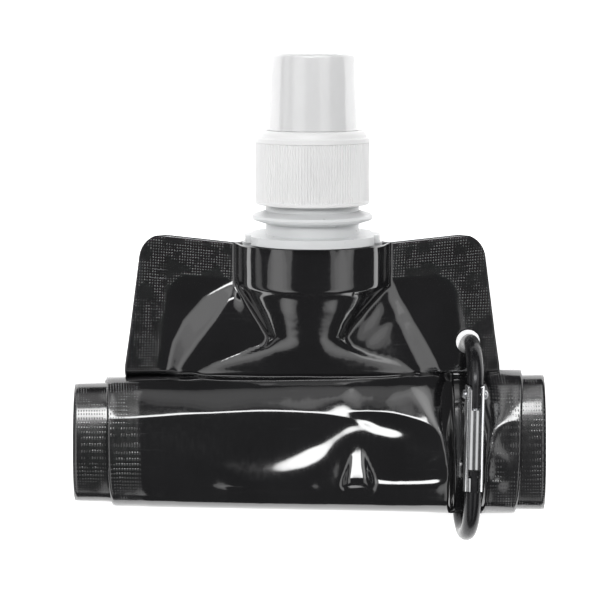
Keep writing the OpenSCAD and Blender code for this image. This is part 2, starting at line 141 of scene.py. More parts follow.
def centre_x(r):
    """The pouch's centre line, which drifts a little as it is rolled up."""
    return curve(r, (0, SPOUT[0]), (40, SPOUT[0]), (100, 1.3), (155, 0))


def flat_point(x, r):
    """(y, z) on the flat, tilted shoulder."""
    rise = SLANT * np.maximum(0, np.abs(x - SPOUT[0]) - SLANT_FROM)
    s = rise * np.maximum(1 - r / SLANT_LEN, 0) - TOP_GAP - r
    return np.stack([SPOUT[1] + s * cos(TILT), SPOUT[2] + s * sin(TILT)])


def wound_point(x, turned):
    """(y, z) on the winding, turned degrees past its start."""
    crowded = np.radians(ENTRY + turned)
    angle = crowded - radians(CROWDING) * np.sin(2 * crowded)
    turns = turned / 360
    q = pinch(x)
    half_y = mix(DEPTH_LEFT, DEPTH_RIGHT, (x + POUCH_W / 2) / POUCH_W) / 2 - STEP_Y * turns
    half_z = mix(ROLL_HALF_H, PINCH_HALF_H, q) - mix(STEP_Z, PINCH_STEP_Z, q) * turns
    floor_z = ROLL_FLOOR + PINCH_FLOOR * q
    mid_z = mix(ROLL_MID_Z, PINCH_MID_Z, q)
    up = -signed_pow(np.sin(angle), POWER)
    free_z = ROLL_MID_Z + (ROLL_HALF_H - STEP_Z * turns) * up - valley_depth(x, np.cos(angle))
    z = mix(mid_z + half_z * up, free_z, smooth(up * 1.5))
    y = ROLL_Y - STEP_NEAR * turns + half_y * signed_pow(np.cos(angle), POWER)
    return np.stack([y, np.maximum(floor_z, z)])


def dive_point(x, t):
    """(y, z) on the smooth curve from the shoulder, at t = 0, to the winding, at t = 1."""
    a, b = flat_point(x, FLAT_LEN + 0 * t), wound_point(x, 0 * t)
    ahead = wound_point(x, 4 + 0 * t) - b
    leaving = DIVE_LEN * ahead / np.linalg.norm(ahead, axis=0)
    entering = -DIVE_LEN * np.array([cos(TILT), sin(TILT)]).reshape((2,) + (1,) * np.ndim(t))
    return ((2 * t ** 3 - 3 * t ** 2 + 1) * a + (t ** 3 - 2 * t ** 2 + t) * entering
            + (3 * t ** 2 - 2 * t ** 3) * b + (t ** 3 - t ** 2) * leaving)


def route(x, r):
    """(y, z) of the middle of the film, between its two plies."""
    t = np.clip((r - FLAT_LEN) / DIVE_LEN, 0, 1)
    turned = np.maximum(r - WOUND_START, 0) / TURN_LEN * 360
    p = np.where(r <= FLAT_LEN, flat_point(x, np.minimum(r, FLAT_LEN)), dive_point(x, t))
    return np.where(r > WOUND_START, wound_point(x, turned), p)


def route_normal(x, r):
    """The direction from the back ply to the front ply."""
    step = 0.25
    t = route(x, r + step) - route(x, r - step)
    t = t / np.linalg.norm(t, axis=0)
    return np.stack([t[1], -t[0]])


# ---------------------------------------------------------------- the film's relief, in mm
def blur(field, sigma_rows, sigma_cols):
    """Rounds the creases of a grid of heights."""
    for axis, sigma in ((0, sigma_rows), (1, sigma_cols)):
        reach = max(1, int(3 * sigma))
        k = np.exp(-0.5 * (np.arange(-reach, reach + 1) / sigma) ** 2)
        k /= k.sum()
        pad = [(reach, reach) if a == axis else (0, 0) for a in (0, 1)]
        padded = np.pad(field, pad, mode="edge")
        n = field.shape[axis]
        field = sum(w * np.take(padded, range(i, i + n), axis) for i, w in enumerate(k))
    return field


def waves(x, y, count, length, seed):
    """Gentle random waves about length mm long, between about -1 and 1."""
    rng = np.random.default_rng(seed)
    total = np.zeros(np.broadcast(x, y).shape)
    for _ in range(count):
        a = rng.uniform(0, pi)
        k = 2 * pi / (length * rng.uniform(0.6, 1.8))
        phase = rng.uniform(0, 2 * pi)
        total = total + np.sin((x * cos(a) + y * sin(a)) * k + phase)
    return total / count ** 0.5


def leg(d, valley, valley_h, crest, crest_h, foot):
    """The pleat beside the pocket: from its valley up to its crest and down to its foot."""
    inner = mix(valley_h, crest_h, smooth((d - valley) / np.maximum(crest - valley, 0.1)))
    outer = crest_h * (1 - np.clip((d - crest) / np.maximum(foot - crest, 0.1), 0, 1))
    return np.where(d < crest, inner, outer)


def shoulder_relief(d, r, style):
    """Height of the ply above the route's plane, from the spout's base down to the roll: a bell
    over the pocket in the middle, and a pleat on each side of it."""
    bell_h = curve(r, (0, BASE_H + 0.05), (BASE_LEN, BASE_H + 0.05), (12, BASE_H - 1.0), *style["bell"])
    bulk = curve(r, (0, 2.3), (BASE_LEN, 2.3), (16, 2.6), (36, 2.2))
    out = np.zeros(d.shape)
    a = np.abs(d)
    for sign, key in ((-1, "left"), (1, "right")):
        knots = style[key]
        valley = curve(r, (0, BASE_W), (BASE_LEN, BASE_W), *knots["valley"])
        valley_h = curve(r, (0, 0), (BASE_LEN, 0), *knots["valley_h"])
        crest = curve(r, (0, BASE_W), (BASE_LEN, BASE_W + 0.2), *knots["crest"])
        crest_h = curve(r, (0, 0), (9, 0), *knots["crest_h"])
        foot = curve(r, (0, BASE_W + 0.3), (8, BASE_W + 0.3), *knots["foot"])
        bell = valley_h + (bell_h - valley_h) * np.sqrt(np.maximum(1 - (a / valley) ** bulk, 0))
        h = np.where(a < valley, bell, leg(a, valley, valley_h, crest, crest_h, foot))
        out = np.where(np.sign(d) * sign >= 0, h, out)
    return out


# creases of the shoulder: their line as (across, along), slope, width of the crest and reach
SHOULDER_CREASES = [
    ([(-20, 12), (-23, 17), (-27.5, 24), (-31, 31), (-32, 36)], 0.13, 0.3, 2.0),
    ([(-24, 21), (-20, 21.5), (-15.5, 24.5), (-13, 27)], 0.12, 0.4, 2.4),
    ([(-17.5, 12.5), (-15.5, 17), (-13.8, 21)], 0.12, 0.3, 1.8),
    ([(17.5, 13), (15, 18), (12, 22)], 0.14, 0.3, 1.8),
    ([(24, 17), (19, 19.5), (14.5, 24), (12, 27)], 0.12, 0.4, 2.4)]


def shoulder_folds(d, r, side):
    """Small folds on the shoulder's relief: waves, the weld's bead, the puckers along the top
    edge over the spout's base, and the creases, mirrored on the back ply."""
    out = 0.05 * waves(d, r, 8, 13, 3 + side) * smooth((r - 10) / 4)
    out += 0.22 * np.exp(-((r - BASE_LEN + 0.2) / 0.4) ** 2) * smooth((14.5 - np.abs(d)) / 3)
    out += 0.12 * waves(d * 2.2, r * 0.2, 6, 7, 17) * np.exp(-r / 1.2) * (np.abs(d) < BASE_W - 1)
    mirror = d * (1 if side > 0 else -1)
    for line, slope, width, reach in SHOULDER_CREASES:
        out += ridge(mirror, r, line, slope, width, reach)
    return out


# how each ply is shaped between the spout's base and the roll, as (along, value) knots
FRONT_STYLE = {
    "bell": [(14, 10.4), (20, 7.8), (25, 5.6), (30, 3.4), (33, 2.0), (36, 0.5), (38, 0)],
    "left": {
        "valley": [(14, 16.3), (20, 12.6), (23.5, 10.6), (25.5, 11.8), (28, 18), (30, 23.5), (33, 29.8),
                   (38, 36)],
        "valley_h": [(14, 0.9), (20, 2.0), (23.5, 2.4), (28, 1.7), (33, 0.8), (36, 0)],
        "crest": [(14, 20.2), (20, 24.6), (25, 29.2), (30, 32.6), (33, 34.2), (38, 38)],
        "crest_h": [(10.5, 0.5), (14, 1.9), (20, 2.6), (25, 2.3), (30, 1.5), (33, 0.9), (36, 0)],
        "foot": [(10.5, 21.5), (14, 27.4), (20, 32.3), (25, 35), (30, 36), (33, 36.5), (38, 40)]},
    "right": {
        "valley": [(14, 15.2), (20, 10), (23.5, 7.8), (26, 9.8), (28, 14), (30, 21), (33, 26.5), (38, 34)],
        "valley_h": [(14, 0.9), (20, 2.2), (23.5, 2.7), (28, 1.8), (33, 0.8), (36, 0)],
        "crest": [(14, 19.2), (20, 21.6), (25, 24), (30, 26.5), (33, 28), (38, 34)],
        "crest_h": [(10.5, 0.5), (14, 0.75), (20, 1.0), (25, 1.15), (30, 1.25), (33, 1.1), (36, 0)],
        "foot": [(10.5, 20.4), (14, 22.0), (20, 25.3), (25, 28.3), (30, 31.2), (33, 32.2), (38, 36)]}}

BACK_STYLE = {
    "bell": [(14, 10.2), (20, 7.4), (25, 5.0), (30, 2.6), (33, 1.5), (36, 0.4), (38, 0)],
    "left": {
        "valley": [(14, 16.8), (20, 13.2), (24, 11.2), (27, 14), (30, 20), (33, 25.5), (38, 33)],
        "valley_h": [(14, 0.8), (20, 1.9), (24, 2.2), (28, 1.5), (33, 0.7), (36, 0)],
        "crest": [(14, 20), (20, 23.6), (25, 27), (30, 29.5), (33, 31), (38, 35)],
        "crest_h": [(10.5, 0.5), (14, 1.5), (20, 2.0), (25, 1.8), (30, 1.2), (33, 0.7), (36, 0)],
        "foot": [(10.5, 20.8), (14, 25), (20, 29.5), (25, 32), (30, 33.5), (33, 34.5), (38, 38)]},
    "right": {
        "valley": [(14, 15.8), (20, 11.4), (23, 9.6), (26, 12), (30, 21), (33, 27), (38, 34)],
        "valley_h": [(14, 0.9), (20, 2.0), (23, 2.3), (28, 1.5), (33, 0.7), (36, 0)],
        "crest": [(14, 20), (20, 24), (25, 27.6), (30, 31), (33, 32.4), (38, 36)],
        "crest_h": [(10.5, 0.5), (14, 1.7), (20, 2.2), (25, 1.9), (30, 1.2), (33, 0.7), (36, 0)],
        "foot": [(10.5, 21), (14, 26), (20, 30.5), (25, 33), (30, 34.5), (33, 35.5), (38, 39)]}}


def along_line(x, y, points):
    """Distance to a polyline, positive on its left, and the share of its length at the nearest point."""
    best = np.full(np.broadcast(x, y).shape, 1e9)
    signed, share = best.copy(), np.zeros(best.shape)
    total = sum(np.hypot(bx - ax, by - ay) for (ax, ay), (bx, by) in zip(points[:-1], points[1:]))
    done = 0.0
    for (ax, ay), (bx, by) in zip(points[:-1], points[1:]):
        dx, dy = bx - ax, by - ay
        t = np.clip(((x - ax) * dx + (y - ay) * dy) / (dx * dx + dy * dy), 0, 1)
        ex, ey = x - ax - t * dx, y - ay - t * dy
        dist = np.hypot(ex, ey)
        nearer = dist < best
        best = np.where(nearer, dist, best)
        signed = np.where(nearer, dist * np.sign(dx * ey - dy * ex), signed)
        share = np.where(nearer, (done + t * np.hypot(dx, dy)) / total, share)
        done += np.hypot(dx, dy)
    return signed, share


def rounded(points, rounds=2):
    """Chaikin's corner cutting, for a crease that bends smoothly."""
    p = [np.array(q, float) for q in points]
    for _ in range(rounds):
        cut = [q for a, b in zip(p[:-1], p[1:]) for q in (0.75 * a + 0.25 * b, 0.25 * a + 0.75 * b)]
        p = [p[0]] + cut + [p[-1]]
    return [tuple(q) for q in p]


def taper(share, points, ends):
    """Fades a crease out over its last ends millimetres, at both its ends."""
    length = sum(np.hypot(b[0] - a[0], b[1] - a[1]) for a, b in zip(points[:-1], points[1:]))
    return smooth(share * length / ends) * smooth((1 - share) * length / ends)


def ridge(x, y, points, slope, width, reach, ends=5):
    """A convex fold along a line: the film falls away from it on both sides."""
    s, share = along_line(x, y, rounded(points))
    fall = slope * (np.sqrt(s * s + width * width) - width)
    return -fall * np.exp(-(np.abs(s) / reach) ** 1.6) * taper(share, points, ends)


def lean(y):
    """How far the smooth roll's top leans to the far side, in degrees."""
    u = y + 37
    return 0.45 * u + 0.0095 * u ** 3


def wall(x, y, points, breadth, reach, ends, facing):
    """A step along a line, low on its left. breadth is the face's breadth and facing the degrees
    that it leans to the far side, both as (share of the line, value) knots."""
    s, share = along_line(x, y, rounded(points))
    w = curve(share, *breadth)
    slope = np.tan(np.radians(curve(share, *facing) - lean(np.maximum(y, -46.8))))
    high = smooth((y + 50.5) / 5)
    spread = np.exp(-(np.abs(s) / (reach * w ** 0.5)) ** 2)
    return -slope * w * np.tanh(s / w) * high * spread * taper(share, points, ends)


def mound(x, y, top, bottom, height, width, tail):
    """A wedge that climbs from a narrow top to a broad bottom, then drops away within tail."""
    drop = top[1] - bottom[1]
    t = (top[1] - y) / drop
    c = np.clip(t, 0, 1)
    centre = mix(top[0], bottom[0], c)
    w = mix(width[0], width[1], np.clip(t, 0, 1.2))
    climb = (0.56 * c + 0.44 * c * c) * np.exp(-np.maximum(t - 1, 0) ** 2 * (drop / tail) ** 2)
    return height * climb * np.exp(-((x - centre) / w) ** 6)


def roll_relief(x, y):
    """How the outer ply over the top of the roll is creased and dented, in mm outwards."""
    out = 0.07 * waves(x, y * 1.4, 7, 24, 5) + 0.02 * waves(x, y, 9, 9, 11)
    long_fold = [(-59, -30.6), (-43, -30.2), (-25, -28.9), (-8, -28.4), (2, -28.9), (6, -29.6),
                 (11, -30.8), (14, -32.4), (17, -33.8)]
    out += ridge(x, y, long_fold, slope=0.11, width=0.2, reach=7.0)
    fold_to_gate = [(8, -28.6), (13, -28.6), (17.3, -28.6), (24, -29.6), (29.8, -31.7), (34.6, -36),
                    (37, -40)]
    out += ridge(x, y, fold_to_gate, slope=0.16, width=0.12, reach=6.0)
    fold_past_gate = [(43, -36), (46.5, -32.4), (52, -30.4), (60, -30.4)]
    out += ridge(x, y, fold_past_gate, slope=0.13, width=0.15, reach=6.0, ends=3)
    # the crumple's curved wall, which rises to meet the long fold
    curved = [(-28, -41.0), (-12, -43.0), (-5, -42.2), (1.5, -38.8), (6.3, -35.4), (9.8, -32.8),
              (13.4, -31.8), (17.5, -33.0), (22, -34.3), (30, -34.8)]
    out += wall(x, y, curved, reach=3.6, ends=10.0,
                breadth=[(0, 0.9), (0.24, 5.0), (0.42, 4.6), (0.55, 2.8), (0.7, 2.2), (1, 1.2)],
                facing=[(0, 9), (0.45, 9), (0.6, 13), (0.7, 13.5), (0.8, 10.5), (1, 9)])
    # the wedge beside it, and the thin wall that runs on past the gate
    out += mound(x, y, top=(12.0, -36.6), bottom=(12.0, -45.0), height=1.75, width=(0.9, 3.3), tail=2.4)
    out -= 0.3 * np.exp(-((x - 12) / 7) ** 2 - ((y + 39.5) / 4) ** 2)
    thin = [(13, -45.2), (17, -46.2), (22, -46.6), (29, -46.3), (34, -45.6), (38, -45.2), (45, -45.6),
            (50, -45.4)]
    out += wall(x, y, thin, reach=3.0, ends=4, breadth=[(0, 1.4), (1, 1.4)], facing=[(0, 12.5), (1, 12.5)])
    # stray folds near the roll's near edge, and one beside the wedge
    out += ridge(x, y, [(-43, -44.6), (-28, -46.2), (-12, -47.6), (6, -49.2)], slope=0.10, width=0.3, reach=2.6)
    out += ridge(x, y, [(-42, -46.4), (-30, -48.0), (-16, -49.2)], slope=0.08, width=0.3, reach=2.0)
    out += ridge(x, y, [(20, -37.4), (26, -38.6), (31, -41.5)], slope=0.06, width=0.4, reach=3)
    return out


# ---------------------------------------------------------------- meshes
# half width of the evenly spaced columns, how far creases are rounded, how deep the outer ply
# is dented and how far the ply under it gives way, and the lowest that the back ply lies
EVEN_HALF_W, CREASE_BLUR, DEEPEST_DENT, UNDER_DENT, BACK_FLOOR = 36, 0.45, 1.1, 1.15, 0.02
# rows of the grid that can reach the hanging hole
HOLE_ROWS = 90
# one leg of the folded base film, and the rows and columns of its grid
BASE_FILM_LEN, BASE_FILM_ROWS, BASE_FILM_COLS = 15.5, 18, 90


def slab(name, outer, inner, keep, attributes):
    """A closed piece between two grids of points (rows, cols, 3) in mm, walled round every open
    edge. keep says which of the grid's squares are there, and attributes are grids of values
    that the material reads."""
    rows, cols = outer.shape[:2]
    index = np.arange(rows * cols).reshape(rows, cols)
    a, b, c, d = index[:-1, :-1][keep], index[:-1, 1:][keep], index[1:, 1:][keep], index[1:, :-1][keep]
    quads = np.stack([a, b, c, d], 1)
    n = rows * cols
    edges = {}
    for q in quads:
        for i in range(4):
            e = (int(q[i]), int(q[(i + 1) % 4]))
            if (e[1], e[0]) in edges:
                del edges[(e[1], e[0])]
            else:
                edges[e] = True
    walls = np.array([[e[1], e[0], n + e[0], n + e[1]] for e in edges])
    faces = np.concatenate([quads, quads[:, ::-1] + n, walls])
    used, faces = np.unique(faces, return_inverse=True)
    faces = faces.reshape(-1, 4)
    points = np.concatenate([outer.reshape(-1, 3), inner.reshape(-1, 3)])[used] * MM
    mesh = bpy.data.meshes.new(name)
    mesh.from_pydata(points.tolist(), [], faces.tolist())
    for key, grid in attributes.items():
        layer = mesh.attributes.new(key, "FLOAT", "POINT")
        layer.data.foreach_set("value", np.tile(grid.ravel(), 2)[used].astype(np.float32))
    uv = mesh.uv_layers.new(name="film")
    loops = np.zeros(len(mesh.loops), np.int32)
    mesh.loops.foreach_get("vertex_index", loops)
    place = np.stack([np.tile(attributes[key].ravel(), 2)[used] for key in ("across", "along")], 1)
    uv.data.foreach_set("uv", (place[loops] * 0.003 + 0.2).astype(np.float32).ravel())
    mesh.update()
    piece = bpy.data.objects.new(name, mesh)
    bpy.context.scene.collection.objects.link(piece)
    bm = bmesh.new()
    bm.from_mesh(mesh)
    bmesh.ops.recalc_face_normals(bm, faces=bm.faces)
    bm.to_mesh(mesh)
    bm.free()
    mesh.polygons.foreach_set("use_smooth", np.arange(len(faces)) < 2 * len(quads))
    mesh.update()
    return piece


def film_rows(spans):
    """Distances along the film, from (end, step) spans."""
    marks = [0.0]
    for end, step in spans:
        count = max(1, round((end - marks[-1]) / step))
        marks += list(np.linspace(marks[-1], end, count + 1)[1:])
    return np.array(marks)


def film_grid(rows, step_in, step_out):
    """x offsets from the centre line on a grid: even within EVEN_HALF_W, then spread to the edge."""
    middle = np.linspace(0, EVEN_HALF_W, round(EVEN_HALF_W / step_in) + 1)
    spread = np.linspace(0, 1, round((POUCH_W / 2 - EVEN_HALF_W) / step_out) + 1)[1:]
    sides = [EVEN_HALF_W + spread * (half_width(r) - EVEN_HALF_W) for r in rows]
    half = np.array([np.concatenate([middle, side]) for side in sides])
    return np.concatenate([-half[:, :0:-1], half], 1)


def film_ply(name, side, rows, step_in, step_out, style):
    """One ply of the pouch, the front one for side = 1 and the back one for side = -1. The back
    ply is the roll's outer skin."""
    d = film_grid(rows, step_in, step_out)
    r = np.broadcast_to(rows[:, None], d.shape).copy()
    x = centre_x(r) + d

    near = rows < RELIEF_LEN + 4
    relief = np.zeros(d.shape)
    raw = shoulder_relief(d[near], r[near], style)
    raw += shoulder_folds(d[near], r[near], side)
    soft = blur(raw, CREASE_BLUR / (rows[1] - rows[0]), CREASE_BLUR / step_in)
    relief[near] = np.maximum(soft * smooth((RELIEF_LEN - r[near]) / 3), 0)

    # the plies lie close in the seals, and further apart between them and round the base film
    beside = np.maximum(np.abs(d) - half_width(r) + (SEAL_SIDE + SEAL_R), 0)
    above = np.maximum(SEAL_TOP + SEAL_R - r, 0) * (np.abs(d) > BASE_W + 1)
    inside = SEAL_R - np.hypot(beside, above)
    seal = 1 - smooth(inside / 0.8 + 0.5)
    gap = mix(0.05, 0.18, smooth(inside / 3 + 0.5))
    gap = np.where(r > FILM_END - 20, 0.38, gap)

    # the outermost turn over the top of the roll, away from the gate and the pouch's edge
    p = route(x, r)
    turned = (r - WOUND_START) / TURN_LEN * 360
    over = window(turned, 150, 46, 250, 24)
    over = over * (1 - 0.85 * smooth((8 - np.abs(x - PINCH_X)) / 4))
    over = over * smooth((half_width(r) - 0.5 - np.abs(d)) / 2)
    if side < 0:
        dent = np.maximum(roll_relief(x, p[0]), -DEEPEST_DENT) * over
        under = window(turned, 20, 30, 90, 20)
        dent = dent + 0.05 * waves(x, p[0], 8, 14, 21) * under * (1 - pinch(x))
    else:
        # the ply under the dented one lies out of its way
        dent = UNDER_DENT * over

    normal = route_normal(x, r)
    lowest = BACK_FLOOR if side < 0 else ROLL_FLOOR
    layers = []
    for depth in (gap + FILM_T, gap):
        q = p + normal * side * (relief + depth + dent)
        layers.append(np.stack([x, q[0], np.maximum(q[1], lowest)], -1))
    keep = np.ones((len(rows) - 1, d.shape[1] - 1), bool)
    punch_hole(*layers, keep)
    return slab(name, *layers, keep, {"across": d, "along": r, "seal": seal})


def punch_hole(outer, inner_grid, keep):
    """Opens the hanging hole and draws the nearest points of the grid onto its rim."""
    centre = np.array([HOLE_X, RING_Y + (RING_L - WIRE_D) / 2])
    off = outer[..., :2] - centre
    inside = (outer[..., 2] > 8) & (np.hypot(off[..., 0], off[..., 1]) < HOLE_D / 2)
    inside[HOLE_ROWS:] = False
    gone = inside[:-1, :-1] & inside[1:, :-1] & inside[:-1, 1:] & inside[1:, 1:]
    part = (inside[:-1, :-1] | inside[1:, :-1] | inside[:-1, 1:] | inside[1:, 1:]) & ~gone
    keep &= ~gone
    rim = np.zeros(inside.shape, bool)
    for dy in (0, 1):
        for dx in (0, 1):
            rim[dy:dy + part.shape[0], dx:dx + part.shape[1]] |= part
    rim &= inside
    for grid in (outer, inner_grid):
        off = grid[..., :2] - centre
        dist = np.maximum(np.hypot(off[..., 0], off[..., 1]), 1e-6)
        grid[..., :2] = np.where(rim[..., None], centre + off / dist[..., None] * HOLE_D / 2, grid[..., :2])


def base_film():
    """The base film, folded in two between the plies at the end of the winding."""
    first = FILM_END - BASE_FILM_LEN
    down = np.linspace(FILM_END, first, BASE_FILM_ROWS)
    legs = [(r, sign) for marks, sign in ((down, -1), (down[::-1], 1)) for r in marks]
    # the inner layer turns back a little before the outer one does
    grids = []
    for depth, turn_back in ((0.22, 0.0), (0.05, 0.5)):
        rows = []
        for mark, sign in legs:
            r = np.full(BASE_FILM_COLS, max(mark, first + turn_back))
            x = centre_x(r) + np.linspace(-half_width(r[0]), half_width(r[0]), BASE_FILM_COLS)
            q = route(x, r) + route_normal(x, r) * sign * depth
            rows.append(np.stack([x, q[0], q[1]], -1))
        grids.append(np.array(rows))
    shape = grids[0].shape[:2]
    along = np.broadcast_to(np.array([r for r, _ in legs])[:, None], shape)
    across = np.broadcast_to(np.linspace(-59, 59, BASE_FILM_COLS)[None], shape)
    keep = np.ones((shape[0] - 1, shape[1] - 1), bool)
    return slab("base_film_folded", *grids, keep, {"across": across, "along": along, "seal": np.ones(shape)})


# ---------------------------------------------------------------- materials
def material(name):
    mat = bpy.data.materials.new(name)
    mat.use_nodes = True
    tree = mat.node_tree
    return mat, tree, tree.nodes["Principled BSDF"]


def node(tree, kind, inputs=None, **settings):
    n = tree.nodes.new(kind)
    for key, value in settings.items():
        setattr(n, key, value)
    for key, value in (inputs or {}).items():
        if isinstance(value, bpy.types.NodeSocket):
            tree.links.new(value, n.inputs[key])
        else:
            n.inputs[key].default_value = value
    return n


def maths(tree, op, a, b=None):
    n = node(tree, "ShaderNodeMath", {0: a} if b is None else {0: a, 1: b}, operation=op)
    return n.outputs[0]


def ramp(tree, value, low, high, out_low, out_high):
    n = node(tree, "ShaderNodeMapRange", {"Value": value, "From Min": low, "From Max": high,
                                          "To Min": out_low, "To Max": out_high})
    return n.outputs[0]


def grey(tree, value, tint=(1, 1, 1)):
    n = node(tree, "ShaderNodeCombineColor", {"Red": maths(tree, "MULTIPLY", value, tint[0]),
                                              "Green": maths(tree, "MULTIPLY", value, tint[1]),
                                              "Blue": maths(tree, "MULTIPLY", value, tint[2])})
    return n.outputs[0]


def noise(tree, vector, scale, detail=3.0, roughness=0.5):
    n = node(tree, "ShaderNodeTexNoise", {"Vector": vector, "Scale": scale, "Detail": detail,
                                          "Roughness": roughness})
    return n.outputs["Fac"]


def bump(tree, height, distance, strength=1.0, base=None):
    inputs = {"Height": height, "Distance": distance, "Strength": strength}
    if base is not None:
        inputs["Normal"] = base
    return node(tree, "ShaderNodeBump", inputs).outputs["Normal"]


def stretched(tree, vector, scale):
    return node(tree, "ShaderNodeMapping", {"Vector": vector, "Scale": scale}).outputs["Vector"]


# spacing and height of the seals' knurl, and the depth of the scratches, in mm
KNURL_PITCH, KNURL_H, SCRATCH_H = 0.66, 0.065, 0.004


def film_material():
    """Glossy black laminate: knurled in its seals, finely scratched along its width."""
    mat, t, shader = material("laminated_film")
    across = node(t, "ShaderNodeAttribute", attribute_name="across").outputs["Fac"]
    along = node(t, "ShaderNodeAttribute", attribute_name="along").outputs["Fac"]
    seal = node(t, "ShaderNodeAttribute", attribute_name="seal").outputs["Fac"]
    place = node(t, "ShaderNodeCombineXYZ", {"X": across, "Y": along}).outputs[0]
    # knurl of the sealing bars: a fine square mesh, crisp in some patches and faint in others
    pitch = 2 * pi / KNURL_PITCH
    skew = maths(t, "ADD", across, maths(t, "MULTIPLY", along, 0.05))
    mesh_u = ramp(t, maths(t, "SINE", maths(t, "MULTIPLY", skew, pitch)), 0.1, 0.95, 0.0, 1.0)
    mesh_v = ramp(t, maths(t, "SINE", maths(t, "MULTIPLY", along, pitch)), 0.1, 0.95, 0.0, 1.0)
    patches = ramp(t, noise(t, place, 0.16, 3, 0.6), 0.44, 0.62, 0.06, 1.0)
    knurl = maths(t, "MULTIPLY", maths(t, "MULTIPLY", mesh_u, mesh_v), seal)
    knurl = maths(t, "MULTIPLY", knurl, patches)
    # fine scratches along the width, and a slow unevenness of the film
    lines = noise(t, stretched(t, place, (0.06, 3.0, 1)), 1.0, 4, 0.7)
    scratch = ramp(t, lines, 0.62, 0.78, 0.0, 1.0)
    where = ramp(t, noise(t, stretched(t, place, (0.5, 1.0, 1)), 0.16, 2), 0.42, 0.6, 0.0, 1.0)
    scratch = maths(t, "MULTIPLY", scratch, where)
    uneven = noise(t, place, 0.22, 2, 0.4)
    n1 = bump(t, uneven, 0.35 * MM, 0.12)
    n2 = bump(t, scratch, SCRATCH_H * MM, 1.0, n1)
    n3 = bump(t, knurl, KNURL_H * MM, 1.0, n2)
    t.links.new(n3, shader.inputs["Normal"])
    t.links.new(n3, shader.inputs["Coat Normal"])
    rough = ramp(t, noise(t, place, 1.1, 3), 0.3, 0.7, 0.08, 0.13)
    rough = maths(t, "ADD", rough, maths(t, "MULTIPLY", scratch, 0.22))
    rough = maths(t, "ADD", rough, maths(t, "MULTIPLY", seal, 0.09))
    t.links.new(rough, shader.inputs["Roughness"])
    # the knurl's dots are painted a little lighter, a painted glint standing in for their gloss catching the
    # light; the scratches are lighter too, as whitened film
    painted_knurl_glint_and_scratch_tone = maths(t, "ADD", maths(t, "MULTIPLY", knurl, 0.02), maths(t, "MULTIPLY", scratch, 0.02))
    shade = maths(t, "ADD", ramp(t, noise(t, place, 0.08, 3), 0.3, 0.7, 0.0045, 0.0075), painted_knurl_glint_and_scratch_tone)
    t.links.new(grey(t, shade, (1, 1, 1.08)), shader.inputs["Base Color"])
    shader.inputs["IOR"].default_value = 1.85
    shader.inputs["Coat Weight"].default_value = 1.0
    shader.inputs["Coat Roughness"].default_value = 0.06
    shader.inputs["Coat IOR"].default_value = 1.7
    return mat


def tint_of(colour):
    """A colour as shares of its red."""
    return tuple(c / colour[0] for c in colour)


def plastic(name, colour, rough, subsurface=0.0, radius=0.8, grain=0.02, transmission=0.0, ior=1.49, coat=0.0):
    """Moulded plastic: faint flow marks, a fine moulded grain and a little shade variation. radius
    is how far light spreads inside it and grain the height of its grain, in mm."""
    mat, t, shader = material(name)
    place = node(t, "ShaderNodeTexCoord").outputs["Object"]
    flow = noise(t, place, 90, 3)
    fine = noise(t, place, 2200, 2)
    shade = ramp(t, flow, 0.3, 0.7, colour[0] * 0.97, colour[0] * 1.01)
    t.links.new(grey(t, shade, tint_of(colour)), shader.inputs["Base Color"])
    gloss = ramp(t, noise(t, place, 350, 3), 0.3, 0.7, rough * 0.85, rough * 1.2)
    t.links.new(gloss, shader.inputs["Roughness"])
    t.links.new(bump(t, fine, grain * MM, 0.5, bump(t, flow, 0.15 * MM, 0.3)), shader.inputs["Normal"])
    shader.inputs["IOR"].default_value = ior
    if subsurface:
        shader.inputs["Subsurface Weight"].default_value = subsurface
        shader.inputs["Subsurface Radius"].default_value = (1, 1, 1)
        shader.inputs["Subsurface Scale"].default_value = radius * MM
    if transmission:
        shader.inputs["Transmission Weight"].default_value = transmission
    if coat:
        shader.inputs["Coat Weight"].default_value = coat
        shader.inputs["Coat Roughness"].default_value = 0.12
        shader.inputs["Coat IOR"].default_value = 1.9
    return mat


def metal(name, colour, rough, metallic=1.0, brush=(1, 1, 1), grain=0.01, coat=0.0):
    """Metal with fine drawing lines, drawn out along the axis where brush is small, and slightly
    uneven gloss."""
    mat, t, shader = material(name)
    place = node(t, "ShaderNodeTexCoord").outputs["Object"]
    lines = noise(t, stretched(t, place, brush), 1400, 4, 0.6)
    spots = noise(t, place, 260, 4, 0.6)
    shade = ramp(t, spots, 0.3, 0.75, colour[0] * 0.9, colour[0] * 1.05)
    t.links.new(grey(t, shade, tint_of(colour)), shader.inputs["Base Color"])
    along_lines = ramp(t, lines, 0.3, 0.7, rough * 0.75, rough * 1.25)
    in_spots = ramp(t, spots, 0.5, 0.8, 0.0, rough * 0.3)
    t.links.new(maths(t, "ADD", along_lines, in_spots), shader.inputs["Roughness"])
    t.links.new(bump(t, lines, grain * MM, 0.6), shader.inputs["Normal"])
    shader.inputs["Metallic"].default_value = metallic
    if coat:
        shader.inputs["Coat Weight"].default_value = coat
        shader.inputs["Coat Roughness"].default_value = 0.12
    return mat


